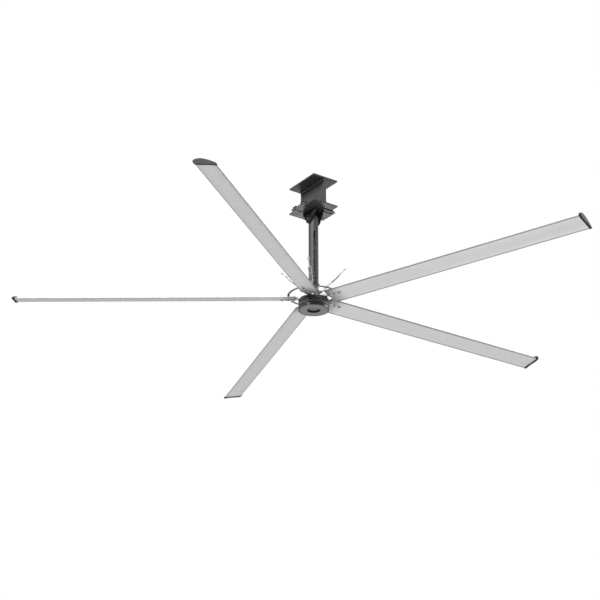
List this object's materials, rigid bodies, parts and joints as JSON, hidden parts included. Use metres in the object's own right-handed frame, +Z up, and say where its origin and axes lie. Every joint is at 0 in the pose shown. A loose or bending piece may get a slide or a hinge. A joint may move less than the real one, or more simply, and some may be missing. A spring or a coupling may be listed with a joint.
{
  "type": "high volume low speed fan",
  "caption": "Large slow ceiling fan: long pitched blades on a gearless hub, hung by a downrod and yoke from a clamped beam plate, with guy turnbuckles.",
  "frame": {"origin": "middle of the top face of the I-beam stub", "axes": "+Z up, +X along the beam, +Y across the beam and along the pivot bolt"},
  "size_m": [5.8772, 5.604, 1.435],
  "materials": {
    "i_beam_stub": "satin grey paint",
    "mount_plate": "satin grey paint",
    "beam_clamp": "zinc plated",
    "yoke": "black paint",
    "pivot_bolt": "zinc plated",
    "pivot_nut": "zinc plated",
    "downrod": "satin dark grey paint",
    "pivot_sleeve": "bare steel",
    "motor_coupling": "satin dark grey paint",
    "coupling_screw": "black oxide",
    "guy_bracket": "satin dark grey paint",
    "flange_bolt": "zinc plated",
    "motor_shaft": "turned steel",
    "stator_carrier": "cast",
    "stator_core": "laminated",
    "stator_windings": "varnished copper",
    "shaft_nut": "turned steel",
    "hub_drum": "dark grey paint on cast aluminium",
    "top_cover": "dark grey paint on cast aluminium",
    "bottom_cover": "grey paint on cast aluminium",
    "rotor_magnets": "nickel plated",
    "upper_bearing": "ground steel",
    "lower_bearing": "ground steel",
    "blade_arm": "forged",
    "blade": "anodised",
    "tip_cap": "moulded",
    "blade_bolt_strip": "black paint",
    "safety_ring": "dark grey paint",
    "turnbuckle_sleeve": "galvanised",
    "guy_eye": "galvanised"
  },
  "bodies": {
    "mount": {"i_beam_stub": "i_beam_stub", "mount_plate": "mount_plate", "beam_clamp_1": "beam_clamp", "beam_clamp_2": "beam_clamp", "beam_clamp_3": "beam_clamp", "beam_clamp_4": "beam_clamp", "yoke": "yoke", "pivot_bolt": "pivot_bolt", "pivot_nut": "pivot_nut"},
    "hanging_assembly": {"downrod": "downrod", "pivot_sleeve": "pivot_sleeve", "motor_coupling": "motor_coupling", "coupling_screw_1": "coupling_screw", "coupling_screw_2": "coupling_screw", "coupling_screw_3": "coupling_screw", "guy_bracket": "guy_bracket", "flange_bolt_1": "flange_bolt", "flange_bolt_2": "flange_bolt", "flange_bolt_3": "flange_bolt", "flange_bolt_4": "flange_bolt", "motor_shaft": "motor_shaft", "stator_carrier": "stator_carrier", "stator_core": "stator_core", "stator_windings": "stator_windings", "shaft_nut": "shaft_nut"},
    "rotor": {"hub_drum": "hub_drum", "top_cover": "top_cover", "bottom_cover": "bottom_cover", "rotor_magnets": "rotor_magnets", "upper_bearing": "upper_bearing", "lower_bearing": "lower_bearing", "blade_arm_1": "blade_arm", "blade_1": "blade", "tip_cap_1": "tip_cap", "blade_bolt_strip_1": "blade_bolt_strip", "blade_arm_2": "blade_arm", "blade_2": "blade", "tip_cap_2": "tip_cap", "blade_bolt_strip_2": "blade_bolt_strip", "blade_arm_3": "blade_arm", "blade_3": "blade", "tip_cap_3": "tip_cap", "blade_bolt_strip_3": "blade_bolt_strip", "blade_arm_4": "blade_arm", "blade_4": "blade", "tip_cap_4": "tip_cap", "blade_bolt_strip_4": "blade_bolt_strip", "blade_arm_5": "blade_arm", "blade_5": "blade", "tip_cap_5": "tip_cap", "blade_bolt_strip_5": "blade_bolt_strip", "safety_ring": "safety_ring"},
    "turnbuckle_1": {"turnbuckle_sleeve_1": "turnbuckle_sleeve"},
    "guy_eye_1": {"guy_eye_1": "guy_eye"},
    "turnbuckle_2": {"turnbuckle_sleeve_2": "turnbuckle_sleeve"},
    "guy_eye_2": {"guy_eye_2": "guy_eye"},
    "turnbuckle_3": {"turnbuckle_sleeve_3": "turnbuckle_sleeve"},
    "guy_eye_3": {"guy_eye_3": "guy_eye"},
    "turnbuckle_4": {"turnbuckle_sleeve_4": "turnbuckle_sleeve"},
    "guy_eye_4": {"guy_eye_4": "guy_eye"}
  },
  "joints": [
    {"name": "downrod_tilt", "type": "hinge", "parent": "mount", "child": "hanging_assembly", "pos_m": [0, 0, -0.42], "axis": [0, 1, 0], "range_deg": [-10, 10]},
    {"name": "rotor_spin", "type": "hinge", "parent": "hanging_assembly", "child": "rotor", "pos_m": [0, 0, -1.32], "axis": [0, 0, 1], "continuous": true},
    {"name": "turnbuckle_turn_1", "type": "hinge", "parent": "hanging_assembly", "child": "turnbuckle_1", "pos_m": [0.07212, 0.07212, -1.2103], "axis": [0.5171, 0.5171, 0.682], "range_deg": [-7201, 7201]},
    {"name": "guy_eye_slide_1", "type": "slide", "parent": "hanging_assembly", "child": "guy_eye_1", "axis": [0.5171, 0.5171, 0.682], "range_m": [-0.035, 0.035]},
    {"name": "turnbuckle_turn_2", "type": "hinge", "parent": "hanging_assembly", "child": "turnbuckle_2", "pos_m": [-0.07212, 0.07212, -1.2103], "axis": [-0.5171, 0.5171, 0.682], "range_deg": [-7201, 7201]},
    {"name": "guy_eye_slide_2", "type": "slide", "parent": "hanging_assembly", "child": "guy_eye_2", "axis": [-0.5171, 0.5171, 0.682], "range_m": [-0.035, 0.035]},
    {"name": "turnbuckle_turn_3", "type": "hinge", "parent": "hanging_assembly", "child": "turnbuckle_3", "pos_m": [-0.07212, -0.07212, -1.2103], "axis": [-0.5171, -0.5171, 0.682], "range_deg": [-7201, 7201]},
    {"name": "guy_eye_slide_3", "type": "slide", "parent": "hanging_assembly", "child": "guy_eye_3", "axis": [-0.5171, -0.5171, 0.682], "range_m": [-0.035, 0.035]},
    {"name": "turnbuckle_turn_4", "type": "hinge", "parent": "hanging_assembly", "child": "turnbuckle_4", "pos_m": [0.07212, -0.07212, -1.2103], "axis": [0.5171, -0.5171, 0.682], "range_deg": [-7201, 7201]},
    {"name": "guy_eye_slide_4", "type": "slide", "parent": "hanging_assembly", "child": "guy_eye_4", "axis": [0.5171, -0.5171, 0.682], "range_m": [-0.035, 0.035]}
  ],
  "couplings": [
    {"joint": "turnbuckle_turn_1", "follows": "guy_eye_slide_1", "rad_per_m": 3590.4},
    {"joint": "turnbuckle_turn_2", "follows": "guy_eye_slide_2", "rad_per_m": 3590.4},
    {"joint": "turnbuckle_turn_3", "follows": "guy_eye_slide_3", "rad_per_m": 3590.4},
    {"joint": "turnbuckle_turn_4", "follows": "guy_eye_slide_4", "rad_per_m": 3590.4}
  ]
}
